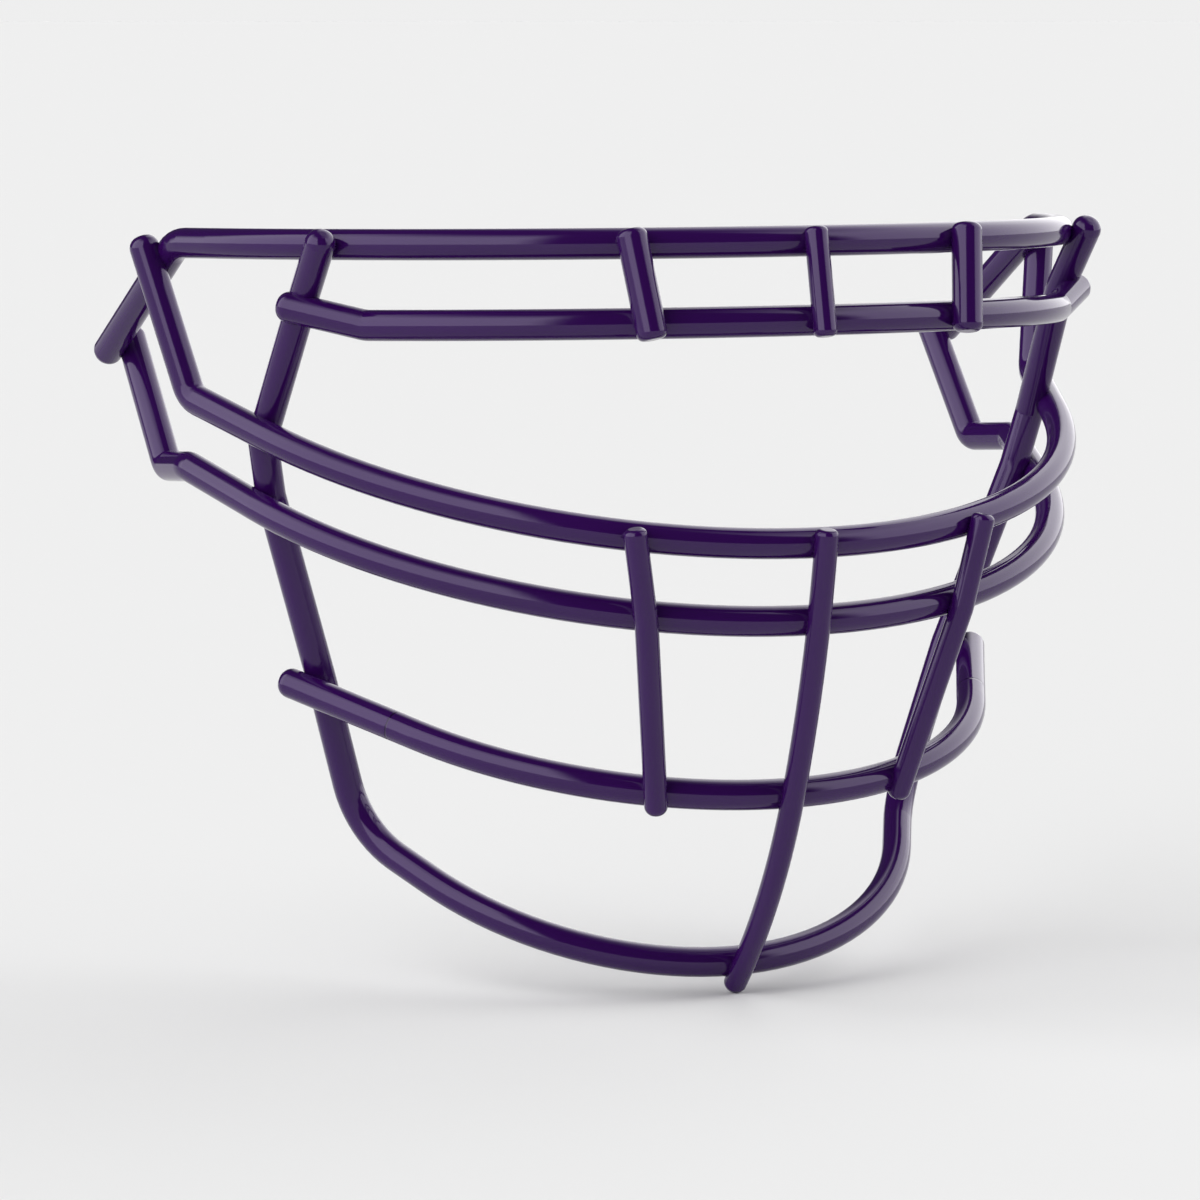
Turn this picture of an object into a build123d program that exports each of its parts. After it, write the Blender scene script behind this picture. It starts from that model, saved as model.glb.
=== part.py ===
from build123d import *
from dataclasses import dataclass
from math import asin, cos, degrees, radians, sin
import os

# Football helmet facemask: twelve coated steel wires, resistance welded where they cross.
# The origin is the middle of the brow bar's centre line. X runs across the face, Y to the back
# of the helmet and Z up. The mask is symmetric about X = 0.

# Wire, with the coating that makes it thicker all round
bar_wire = 6.35
strut_wire = 4.76
coating = 0.32
bar_end_round_share = 0.79
strut_end_round_share = 0.5
strut_foot_round_share = 0.84

# How far the wires are pressed into each other where they are welded
brow_strut_sink = 1.4
side_strut_sink = 0.5
side_foot_sink = 2.2
centre_strut_sink = 1.9
brow_frame_sink = 0.7
visor_frame_sink = 3.4
nose_frame_sink = 2.8
jaw_frame_sink = 1.4
chin_frame_sink = 0.6
brow_nose_sink = 2.2
brow_jaw_sink = 1.2

# Brow bar: a level arc, then legs bent down towards the jaw. The other bars follow it: their radii
# are given as so much more or less than its radius, and their heights as steps down from it
brow_radius = 114.6
brow_turn_angle = 72.6
brow_droop_angle = 1.1
brow_run = 13.8
brow_bend = 11.0
brow_leg_back = 45.9
brow_leg_down = 28.3
brow_leg_out = 0.2

# Visor bar: the second bar over the eyes, under the brow bar
visor_below_brow = 17.5
visor_reach = 3.6
visor_radius_less = 3.6
visor_turn_angle = 52.4
visor_droop_angle = 1.6
visor_run = 2.0
visor_inner_bend = 2.5
visor_tip_back = 15.0
visor_tip_up = 4.3
visor_tip_out = 15.0

# Nose bar: the lower edge of the eye opening, with uprights to the brow bar's corners
nose_below_brow = 67.1
nose_reach = 5.4
nose_radius_less = 6.4
nose_turn_angle = 71.6
nose_rise_angle = 17.4
nose_run = 27.8
nose_inner_bend = 2.0
nose_tip_past = 5.6

# Jaw bar: under the nose bar, with a jog at each side and legs up to the brow bar's tips
jaw_below_nose = 17.7
jaw_reach = 2.1
jaw_radius_less = 8.3
jaw_turn_angle = 75.0
jaw_rise_angle = 17.5
jaw_run = 26.0
jaw_inner_bend = 1.5
jog_back = 17.3
jog_down = 1.2
jog_lean = 1.4
jog_inner_bend = 0.4
jaw_tip_past = 4.0

# Chin bar, which is set back from the brow bar
chin_below_jaw = 40.7
chin_setback = 10.0
chin_radius_less = 32.4
chin_turn_angle = 61.8
chin_rise_angle = 16.8
chin_run = 40.0

# Side frame: one long bar that runs under the chin and up inside the other bars
frame_below_chin = 42.2
frame_behind_chin = 25.1
frame_radius_less = 45.5
frame_turn_angle = 63.3
frame_rise_angle = 29.0
frame_run = 22.5
frame_heel_bend = 20.0
frame_side_bend = 20.0
cheek_inner_bend = 1.0
frame_cheek_below = 2.5
frame_tip_past = 4.2

# Where the side frame crosses the other bars
brow_frame_angle = 54.9
visor_frame_setback = 4.2
nose_frame_setback = 21.7
jaw_frame_setback = 23.9
chin_frame_setback = 6.2

# Where the uprights of the nose and jaw bars meet the brow bar's legs
brow_nose_setback = 6.9
brow_jaw_setback = 4.4

# Struts on the front
brow_strut_across = 40.3
visor_strut_across = 38.3
brow_strut_top_past = 2.4
brow_strut_foot_past = 4.5
nose_strut_across = 41.5
jaw_strut_across = 38.0
chin_strut_across = 30.1
side_strut_inner_bend = 2.4
side_strut_top_past = 3.2
side_strut_foot_past = 4.2
centre_strut_top_past = 4.2
centre_strut_foot_past = 5.6

nose_down = nose_below_brow
jaw_down = nose_down + jaw_below_nose
chin_down = jaw_down + chin_below_jaw
frame_down = chin_down + frame_below_chin
frame_setback = chin_setback + frame_behind_chin

bar_r = bar_wire / 2 + coating
strut_r = strut_wire / 2 + coating
bar_beside_bar = bar_r + bar_r
strut_beside_bar = bar_r + strut_r


# A bar's front: an arc across the face and straight runs tangent to it, in one tilted plane
@dataclass
class Front:
    down: float
    reach: float
    rise: float
    radius: float
    turn: float
    run: float

    def place(self, across, back):
        slope = radians(self.rise)
        return Vector(across, back * cos(slope) - self.reach, back * sin(slope) - self.down)

    def on_arc(self, angle):
        a = radians(angle)
        return self.place(self.radius * sin(a), self.radius * (1 - cos(a)))

    def along(self, angle):
        a = radians(angle)
        return self.place(cos(a), sin(a)) - self.place(0, 0)

    def angle_at(self, across):
        return degrees(asin(across / self.radius))

    def corner(self):
        return self.on_arc(self.turn) + self.along(self.turn) * self.run

    def back_from_corner(self, setback):
        return self.corner() - self.along(self.turn) * setback


# The place beside a bar where another wire's centre line passes: on its outer side, or on its
# inner side if the gap is negative
def seat(point, along, upward, gap):
    return point + along.cross(upward).normalized() * gap


def strut_seat(front, across, upward, gap):
    angle = front.angle_at(across)
    return seat(front.on_arc(angle), front.along(angle), upward, gap)


def past(start, through, extra):
    return through + (through - start).normalized() * extra


def mirrored(point):
    return Vector(-point.X, point.Y, point.Z)


# The centre line of a bar that runs from tip to tip round the front
def bar_line(front, leg, bends):
    with BuildLine() as line:
        end = front.on_arc(front.turn)
        ThreePointArc(mirrored(end), front.on_arc(0), end)
        if bends:
            FilletPolyline(end, *leg, radius=bends)
            FilletPolyline(mirrored(end), *[mirrored(p) for p in leg], radius=bends)
        else:
            Line(end, leg[0])
            Line(mirrored(end), mirrored(leg[0]))
    return line.wires()[0]


# A length of round wire bent to a centre line, with both ends rounded over
def bent_wire(line, radius, start_share, end_share):
    with BuildPart() as wire:
        with BuildSketch(Plane(line @ 0, z_dir=line % 0)):
            Circle(radius)
        sweep(path=line)
        rims = wire.edges().filter_by(GeomType.CIRCLE)
        fillet(rims.sort_by_distance(line @ 0)[0], radius * start_share)
        rims = wire.edges().filter_by(GeomType.CIRCLE)
        fillet(rims.sort_by_distance(line @ 1)[0], radius * end_share)
    return wire.part


brow = Front(
    down=0,
    reach=0,
    rise=-brow_droop_angle,
    radius=brow_radius,
    turn=brow_turn_angle,
    run=brow_run,
)
visor = Front(
    down=visor_below_brow,
    reach=visor_reach,
    rise=-visor_droop_angle,
    radius=brow_radius - visor_radius_less,
    turn=visor_turn_angle,
    run=visor_run,
)
nose = Front(
    down=nose_down,
    reach=nose_reach,
    rise=nose_rise_angle,
    radius=brow_radius - nose_radius_less,
    turn=nose_turn_angle,
    run=nose_run,
)
jaw = Front(
    down=jaw_down,
    reach=jaw_reach,
    rise=jaw_rise_angle,
    radius=brow_radius - jaw_radius_less,
    turn=jaw_turn_angle,
    run=jaw_run,
)
chin = Front(
    down=chin_down,
    reach=-chin_setback,
    rise=chin_rise_angle,
    radius=brow_radius - chin_radius_less,
    turn=chin_turn_angle,
    run=chin_run,
)
frame = Front(
    down=frame_down,
    reach=-frame_setback,
    rise=frame_rise_angle,
    radius=brow_radius - frame_radius_less,
    turn=frame_turn_angle,
    run=frame_run,
)

# Brow bar and its legs
brow_tip = brow.corner() + Vector(brow_leg_out, brow_leg_back, -brow_leg_down)
brow_leg = (brow_tip - brow.corner()).normalized()
brow_line = bar_line(brow, [brow.corner(), brow_tip], brow_bend)

# Visor bar
visor_tip = visor.corner() + Vector(visor_tip_out, visor_tip_back, visor_tip_up)
visor_leg = (visor_tip - visor.corner()).normalized()
visor_line = bar_line(visor, [visor.corner(), visor_tip], bar_r + visor_inner_bend)

# Nose bar, whose uprights lie on the outside of the brow bar's legs
nose_weld = brow.corner() + brow_leg * brow_nose_setback
nose_seat = seat(nose_weld, brow_leg, nose_weld - nose.corner(), bar_beside_bar - brow_nose_sink)
nose_tip = past(nose.corner(), nose_seat, nose_tip_past)
nose_line = bar_line(nose, [nose.corner(), nose_tip], bar_r + nose_inner_bend)

# Jaw bar, whose legs end on the inside of the brow bar's tips
jog_end = jaw.corner() + Vector(-jog_lean, jog_back, -jog_down)
jaw_weld = brow_tip - brow_leg * brow_jaw_setback
jaw_seat = seat(jaw_weld, brow_leg, jaw_weld - jog_end, brow_jaw_sink - bar_beside_bar)
jaw_leg = [jaw.corner(), jog_end, past(jog_end, jaw_seat, jaw_tip_past)]
jaw_line = bar_line(jaw, jaw_leg, [bar_r + jaw_inner_bend, bar_r + jog_inner_bend])

# Chin bar
chin_line = bar_line(chin, [chin.corner()], None)

# Side frame, which passes inside the chin, jaw, nose and visor bars and outside the brow bar
chin_cross = chin.back_from_corner(chin_frame_setback)
jaw_cross = jaw.back_from_corner(jaw_frame_setback)
nose_cross = nose.back_from_corner(nose_frame_setback)
visor_cross = visor_tip - visor_leg * visor_frame_setback
brow_cross = brow.on_arc(brow_frame_angle)
cheek_up = nose_cross - chin_cross
temple_up = brow_cross - nose_cross
chin_seat = seat(chin_cross, chin.along(chin.turn), cheek_up, chin_frame_sink - bar_beside_bar)
jaw_frame_seat = seat(jaw_cross, jaw.along(jaw.turn), cheek_up, jaw_frame_sink - bar_beside_bar)
nose_frame_seat = seat(nose_cross, nose.along(nose.turn), temple_up, nose_frame_sink - bar_beside_bar)
visor_seat = seat(visor_cross, visor_leg, temple_up, visor_frame_sink - bar_beside_bar)
brow_seat = seat(brow_cross, brow.along(brow_frame_angle), temple_up, bar_beside_bar - brow_frame_sink)
frame_cheek = past(visor_seat, nose_frame_seat, frame_cheek_below)
frame_leg = [
    frame.corner(),
    chin_seat,
    jaw_frame_seat,
    frame_cheek,
    visor_seat,
    past(visor_seat, brow_seat, frame_tip_past),
]
cheek_bend = bar_r + cheek_inner_bend
frame_bends = [frame_heel_bend, frame_side_bend, frame_side_bend, cheek_bend, frame_side_bend]
frame_line = bar_line(frame, frame_leg, frame_bends)

# Short struts from the brow bar to the visor bar
def short_strut_line(top, foot):
    with BuildLine() as line:
        Line(past(foot, top, brow_strut_top_past), past(top, foot, brow_strut_foot_past))
    return line


short_up = brow.on_arc(0) - visor.on_arc(0)
short_line = short_strut_line(
    strut_seat(brow, brow_strut_across, short_up, bar_beside_bar - brow_strut_sink),
    strut_seat(visor, visor_strut_across, short_up, bar_beside_bar - brow_strut_sink),
)
middle_line = short_strut_line(
    strut_seat(brow, 0, short_up, strut_beside_bar - brow_strut_sink),
    strut_seat(visor, 0, short_up, strut_beside_bar - brow_strut_sink),
)

# Side struts, bent where they cross the jaw bar
upper_up = nose.on_arc(0) - jaw.on_arc(0)
lower_up = jaw.on_arc(0) - chin.on_arc(0)
side_seat = strut_beside_bar - side_strut_sink
side_top = strut_seat(nose, nose_strut_across, upper_up, side_seat)
side_knee = strut_seat(jaw, jaw_strut_across, upper_up + lower_up, side_seat)
side_foot = strut_seat(chin, chin_strut_across, lower_up, strut_beside_bar - side_foot_sink)
with BuildLine() as side_line:
    FilletPolyline(
        past(side_knee, side_top, side_strut_top_past),
        side_knee,
        past(side_knee, side_foot, side_strut_foot_past),
        radius=strut_r + side_strut_inner_bend,
    )

# Centre strut, curved under the chin from the nose bar down to the side frame
foot_up = chin.on_arc(0) - frame.on_arc(0)
centre_seat = strut_beside_bar - centre_strut_sink
centre_top = strut_seat(nose, 0, upper_up, centre_seat)
centre_jaw = strut_seat(jaw, 0, upper_up + lower_up, centre_seat)
centre_chin = strut_seat(chin, 0, lower_up + foot_up, centre_seat)
centre_foot = strut_seat(frame, 0, foot_up, centre_seat)
with BuildLine() as centre_line:
    upper = ThreePointArc(centre_top, centre_jaw, centre_chin)
    lower = TangentArc(centre_chin, centre_foot, tangent=upper % 1)
    Line(centre_top - (upper % 0) * centre_strut_top_past, centre_top)
    Line(centre_foot, centre_foot + (lower % 1) * centre_strut_foot_past)


def bar(line):
    return bent_wire(line, bar_r, bar_end_round_share, bar_end_round_share)


def strut(line, radius, foot_share):
    return bent_wire(line, radius, strut_end_round_share, foot_share)


wires = {
    "brow_bar": bar(brow_line),
    "visor_bar": bar(visor_line),
    "nose_bar": bar(nose_line),
    "jaw_bar": bar(jaw_line),
    "chin_bar": bar(chin_line),
    "side_frame": bar(frame_line),
    "brow_strut_right": strut(short_line.wires()[0], bar_r, strut_end_round_share),
    "brow_strut_centre": strut(middle_line.wires()[0], strut_r, strut_end_round_share),
    "side_strut_right": strut(side_line.wires()[0], strut_r, strut_foot_round_share),
    "centre_strut": strut(centre_line.wires()[0], strut_r, strut_foot_round_share),
}
for name in ("brow_strut", "side_strut"):
    wires[name + "_left"] = mirror(wires[name + "_right"], about=Plane.YZ)

# The wires that each group of welds joins, from the brow down
brow_struts = ("brow_strut_left", "brow_strut_centre", "brow_strut_right")
front_struts = ("side_strut_left", "centre_strut", "side_strut_right")
welds = {
    "brow_frame_welds": ("brow_bar", ("side_frame",)),
    "brow_nose_welds": ("brow_bar", ("nose_bar",)),
    "brow_jaw_welds": ("brow_bar", ("jaw_bar",)),
    "brow_strut_welds": ("brow_bar", brow_struts),
    "visor_strut_welds": ("visor_bar", brow_struts),
    "visor_frame_welds": ("visor_bar", ("side_frame",)),
    "nose_frame_welds": ("nose_bar", ("side_frame",)),
    "jaw_frame_welds": ("jaw_bar", ("side_frame",)),
    "chin_frame_welds": ("chin_bar", ("side_frame",)),
    "nose_strut_welds": ("nose_bar", front_struts),
    "jaw_strut_welds": ("jaw_bar", front_struts),
    "chin_strut_welds": ("chin_bar", front_struts),
    "centre_strut_foot_weld": ("side_frame", ("centre_strut",)),
}

# Each weld is the metal that two wires share where they have sunk into each other
nuggets = {}
for name, (carrier, others) in welds.items():
    with BuildPart() as nugget:
        for other in others:
            add(wires[other])
        add(wires[carrier], mode=Mode.INTERSECT)
    nuggets[name] = nugget.part

pieces = dict(nuggets)
for name, wire in wires.items():
    joints = [key for key, (carrier, others) in welds.items() if name == carrier or name in others]
    with BuildPart() as piece:
        add(wire)
        for key in joints:
            add(nuggets[key], mode=Mode.SUBTRACT)
    pieces[name] = piece.part

os.makedirs("parts", exist_ok=True)
for name, piece in pieces.items():
    piece.label = name
    export_step(piece, f"parts/{name}.step")
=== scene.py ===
import math

import bpy
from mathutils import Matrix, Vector


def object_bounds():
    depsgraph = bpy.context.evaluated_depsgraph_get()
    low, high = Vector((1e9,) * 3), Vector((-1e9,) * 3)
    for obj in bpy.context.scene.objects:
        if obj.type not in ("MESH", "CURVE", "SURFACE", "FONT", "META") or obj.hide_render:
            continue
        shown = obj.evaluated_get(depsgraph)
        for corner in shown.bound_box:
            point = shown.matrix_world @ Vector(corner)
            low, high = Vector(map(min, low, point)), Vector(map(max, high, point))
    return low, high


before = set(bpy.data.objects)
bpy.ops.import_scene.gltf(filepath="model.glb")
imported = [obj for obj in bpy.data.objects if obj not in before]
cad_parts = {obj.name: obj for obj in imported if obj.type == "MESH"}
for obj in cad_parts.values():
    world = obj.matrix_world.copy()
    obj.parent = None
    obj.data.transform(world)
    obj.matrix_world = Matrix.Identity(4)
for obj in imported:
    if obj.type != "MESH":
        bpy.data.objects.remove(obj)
cadLow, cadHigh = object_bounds()
print("loaded", len(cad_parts), "wires and welds")


def linear(code):
    # sRGB hex to the linear colour that the nodes take
    colour = []
    for i in (1, 3, 5):
        c = int(code[i:i + 2], 16) / 255
        colour.append(c / 12.92 if c <= 0.04045 else ((c + 0.055) / 1.055) ** 2.4)
    return (*colour, 1.0)


def addNode(tree, kind, settings=None, links=None):
    # one node, with its settings and with what feeds each of its inputs
    node = tree.nodes.new(kind)
    for name, value in (settings or {}).items():
        if isinstance(name, int) or name in node.inputs:
            node.inputs[name].default_value = value
        else:
            setattr(node, name, value)
    for name, source in (links or {}).items():
        tree.links.new(source, node.inputs[name])
    return node


def startTree(block):
    # the emptied node tree of a new material or world
    block.use_nodes = True
    block.node_tree.nodes.clear()
    return block.node_tree


# A Mix node's sockets for colours, by number, since those for its other kinds have the same names
mixFrom, mixTo, mixed = 6, 7, 2

# Polyester powder coat on steel wire: sprayed on dry, then baked until it flows out glossy.
# The eye gets a deep purple with a clear mirror over it, and a faint orange peel in that mirror
coat = {
    "colour": "#2f084d",
    "thinColour": "#280744",       # where the coat is a little thinner
    "shineColour": "#ecdfff",      # the pigment just under the surface tints what it mirrors
    "ior": 1.5,
    "roughness": (0.077, 0.113),   # where it flowed out best and worst
    "driftWidth": 0.045,           # slow changes of thickness and gloss along a wire
    "driftDetail": 2.0,
    "peelWidth": 0.0022,           # orange peel, 2.2 mm from crest to crest
    "peelDetail": 1.0,
    "peelHeight": 0.000006,
}

# A fine line round each side of the chin bar, where its ends were butted on before coating.
# The place and the wire's direction there are those of the right side, mirrored to the left
seam = {
    "place": Vector((0.0756, 0.0571, -0.1113)),
    "direction": Vector((0.4726, 0.8437, 0.2547)),
    "width": 0.0008,
    "depth": 0.00005,
    # the groove's colour is painted shade, darker than the coat, for the shade that falls into
    # the groove
    "colour": "#140226",
}


def drawSeam(tree, place, colour, relief):
    # a coat's colour and relief with the seam in them: a groove in the relief, and painted shade
    # that darkens the colour along it
    parts = addNode(tree, "ShaderNodeSeparateXYZ", None, {"Vector": place})
    side = addNode(tree, "ShaderNodeMath", {"operation": "ABSOLUTE"}, {0: parts.outputs["X"]})
    folded = addNode(tree, "ShaderNodeCombineXYZ", None,
                     {"X": side.outputs[0], "Y": parts.outputs["Y"], "Z": parts.outputs["Z"]})
    along = addNode(tree, "ShaderNodeVectorMath",
                    {"operation": "DOT_PRODUCT", 1: seam["direction"]},
                    {0: folded.outputs["Vector"]})
    ahead = addNode(tree, "ShaderNodeMath",
                    {"operation": "SUBTRACT", 1: seam["place"].dot(seam["direction"])},
                    {0: along.outputs["Value"]})
    away = addNode(tree, "ShaderNodeMath", {"operation": "ABSOLUTE"}, {0: ahead.outputs[0]})
    groove = addNode(tree, "ShaderNodeMapRange",
                     {"interpolation_type": "SMOOTHSTEP",
                      "From Min": seam["width"] / 2, "From Max": 0.0},
                     {"Value": away.outputs[0]}).outputs["Result"]
    # painted shade: the coat's colour is darkened towards the seam colour across the groove
    paintedGrooveShade = addNode(tree, "ShaderNodeMix", {"data_type": "RGBA", mixTo: linear(seam["colour"])},
                     {"Factor": groove, mixFrom: colour})
    deeper = addNode(tree, "ShaderNodeBump", {"Distance": seam["depth"], "invert": True},
                     {"Height": groove, "Normal": relief})
    return paintedGrooveShade.outputs[mixed], deeper.outputs["Normal"]


def makePowderCoat(name, butted=False):
    material = bpy.data.materials.new(name)
    tree = startTree(material)
    place = addNode(tree, "ShaderNodeTexCoord").outputs["Object"]
    drift = addNode(tree, "ShaderNodeTexNoise",
                    {"Scale": 1 / coat["driftWidth"], "Detail": coat["driftDetail"]},
                    {"Vector": place}).outputs["Fac"]
    colour = addNode(tree, "ShaderNodeMix",
                     {"data_type": "RGBA",
                      mixFrom: linear(coat["colour"]), mixTo: linear(coat["thinColour"])},
                     {"Factor": drift}).outputs[mixed]
    smoothest, roughest = coat["roughness"]
    gloss = addNode(tree, "ShaderNodeMapRange", {"To Min": smoothest, "To Max": roughest},
                    {"Value": drift})
    peel = addNode(tree, "ShaderNodeTexNoise",
                   {"Scale": 1 / coat["peelWidth"], "Detail": coat["peelDetail"]},
                   {"Vector": place})
    relief = addNode(tree, "ShaderNodeBump", {"Distance": coat["peelHeight"]},
                     {"Height": peel.outputs["Fac"]}).outputs["Normal"]
    if butted:
        # the seam: a groove in the relief, with painted shade darkening the colour along it
        colour, relief = drawSeam(tree, place, colour, relief)
    shader = addNode(tree, "ShaderNodeBsdfPrincipled",
                     {"IOR": coat["ior"], "Specular Tint": linear(coat["shineColour"])},
                     {"Base Color": colour, "Roughness": gloss.outputs["Result"],
                      "Normal": relief})
    addNode(tree, "ShaderNodeOutputMaterial", None, {"Surface": shader.outputs["BSDF"]})
    return material


powderCoat = makePowderCoat("powderCoatedSteelWire")
buttedCoat = makePowderCoat("powderCoatedButtedWire", butted=True)
for name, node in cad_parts.items():
    node.data.materials.clear()
    node.data.materials.append(buttedCoat if name == "chin_bar" else powderCoat)
print("coated the wires")


# The studio's floor: a wide sheet of matt pale paper, which gives an even ground with no mirror
# image and shows the shadow under the mask
floorSheet = {
    "colour": "#e9e9e9",
    "size": 800.0,
}


def makeFloor():
    bpy.ops.object.select_all(action="DESELECT")
    bpy.ops.mesh.primitive_plane_add(size=floorSheet["size"], location=(0, 0, cadLow.z))
    floor = bpy.context.object
    floor.name = "floor"
    material = bpy.data.materials.new("mattPalePaper")
    tree = startTree(material)
    shader = addNode(tree, "ShaderNodeBsdfDiffuse", {"Color": linear(floorSheet["colour"])})
    addNode(tree, "ShaderNodeOutputMaterial", None, {"Surface": shader.outputs["BSDF"]})
    floor.data.materials.append(material)


# The surround: a tall soft box at each side, with dark gaps in front and behind. Each light fades
# in from the first angle to the second and out from the third to the fourth. Angles are in
# degrees: across from the front, + to the right, and up from the horizon
surround = {
    "colour": "#ffffff",
    "gapStrength": 0.05,
    "leftBox": {
        "strength": 2.5,
        "across": (-140.0, -128.0, -43.0, -32.0),
        "up": (1.2, 2.4, 45.0, 78.0),
    },
    "rightBox": {
        "strength": 2.15,
        "across": (34.0, 44.0, 140.0, 165.0),
        "up": (1.2, 2.4, 40.0, 80.0),
    },
    # low and all round, as pale as the floor whose far edge it meets
    "backdrop": {
        "strength": 0.81,
        "across": (-200.0, -190.0, 190.0, 200.0),
        "up": (-20.0, -10.0, 1.2, 2.4),
    },
}


def addLight(tree, light, turn, rise):
    # the light's strength in each direction: each edge fades what the one before it let through
    level = None
    for angle, (start, full, last, end) in ((turn, light["across"]), (rise, light["up"])):
        for dark, lit in ((start, full), (end, last)):
            links = {"Value": angle, "To Max": level} if level else {"Value": angle}
            level = addNode(tree, "ShaderNodeMapRange",
                            {"interpolation_type": "SMOOTHSTEP", "From Min": dark,
                             "From Max": lit, "To Max": light["strength"]},
                            links).outputs["Result"]
    return level


def makeSurround():
    world = bpy.data.worlds.new("studioSurround")
    bpy.context.scene.world = world
    tree = startTree(world)
    place = addNode(tree, "ShaderNodeTexCoord")
    parts = addNode(tree, "ShaderNodeSeparateXYZ", None, {"Vector": place.outputs["Generated"]})
    front = addNode(tree, "ShaderNodeMath", {"operation": "MULTIPLY", 1: -1.0},
                    {0: parts.outputs["Y"]})
    across = addNode(tree, "ShaderNodeMath", {"operation": "ARCTAN2"},
                     {0: parts.outputs["X"], 1: front.outputs[0]})
    up = addNode(tree, "ShaderNodeMath", {"operation": "ARCSINE"}, {0: parts.outputs["Z"]})
    turn, rise = (addNode(tree, "ShaderNodeMath", {"operation": "DEGREES"},
                          {0: angle.outputs[0]}).outputs[0] for angle in (across, up))
    # the first light joins the gaps' own faint light, and each one after it the sum so far
    total = None
    for name in ("leftBox", "rightBox", "backdrop"):
        level = addLight(tree, surround[name], turn, rise)
        links = {0: level, 1: total} if total else {0: level}
        total = addNode(tree, "ShaderNodeMath",
                        {"operation": "ADD", 1: surround["gapStrength"]}, links).outputs[0]
    shine = addNode(tree, "ShaderNodeBackground", {"Color": linear(surround["colour"])},
                    {"Strength": total})
    addNode(tree, "ShaderNodeOutputWorld", None, {"Surface": shine.outputs[0]})


makeFloor()
makeSurround()
print("lit the studio")


# The camera stands in front of the mask and to the left, a little above it, and looks down at it
camera = {
    "place": (-0.59008, -1.10474, 0.04926),
    "azimuth": -26.0,
    "elevation": 5.918,
    "lens": 168.26,
    "sensor": 36.0,
    "nearest": 0.05,
    "farthest": 1000.0,
}


def placeCamera():
    turn, tip = math.radians(camera["azimuth"]), math.radians(camera["elevation"])
    ahead = Vector((-math.sin(turn) * math.cos(tip),
                    math.cos(turn) * math.cos(tip),
                    -math.sin(tip)))
    bpy.ops.object.camera_add(location=camera["place"])
    cam = bpy.context.object
    cam.name = "camera"
    cam.rotation_mode = "QUATERNION"
    cam.rotation_quaternion = ahead.to_track_quat("-Z", "Y")
    cam.data.lens, cam.data.sensor_width = camera["lens"], camera["sensor"]
    cam.data.clip_start, cam.data.clip_end = camera["nearest"], camera["farthest"]
    bpy.context.scene.camera = cam


placeCamera()
bpy.context.scene.view_settings.view_transform = "Standard"

print("camera and sizes done")
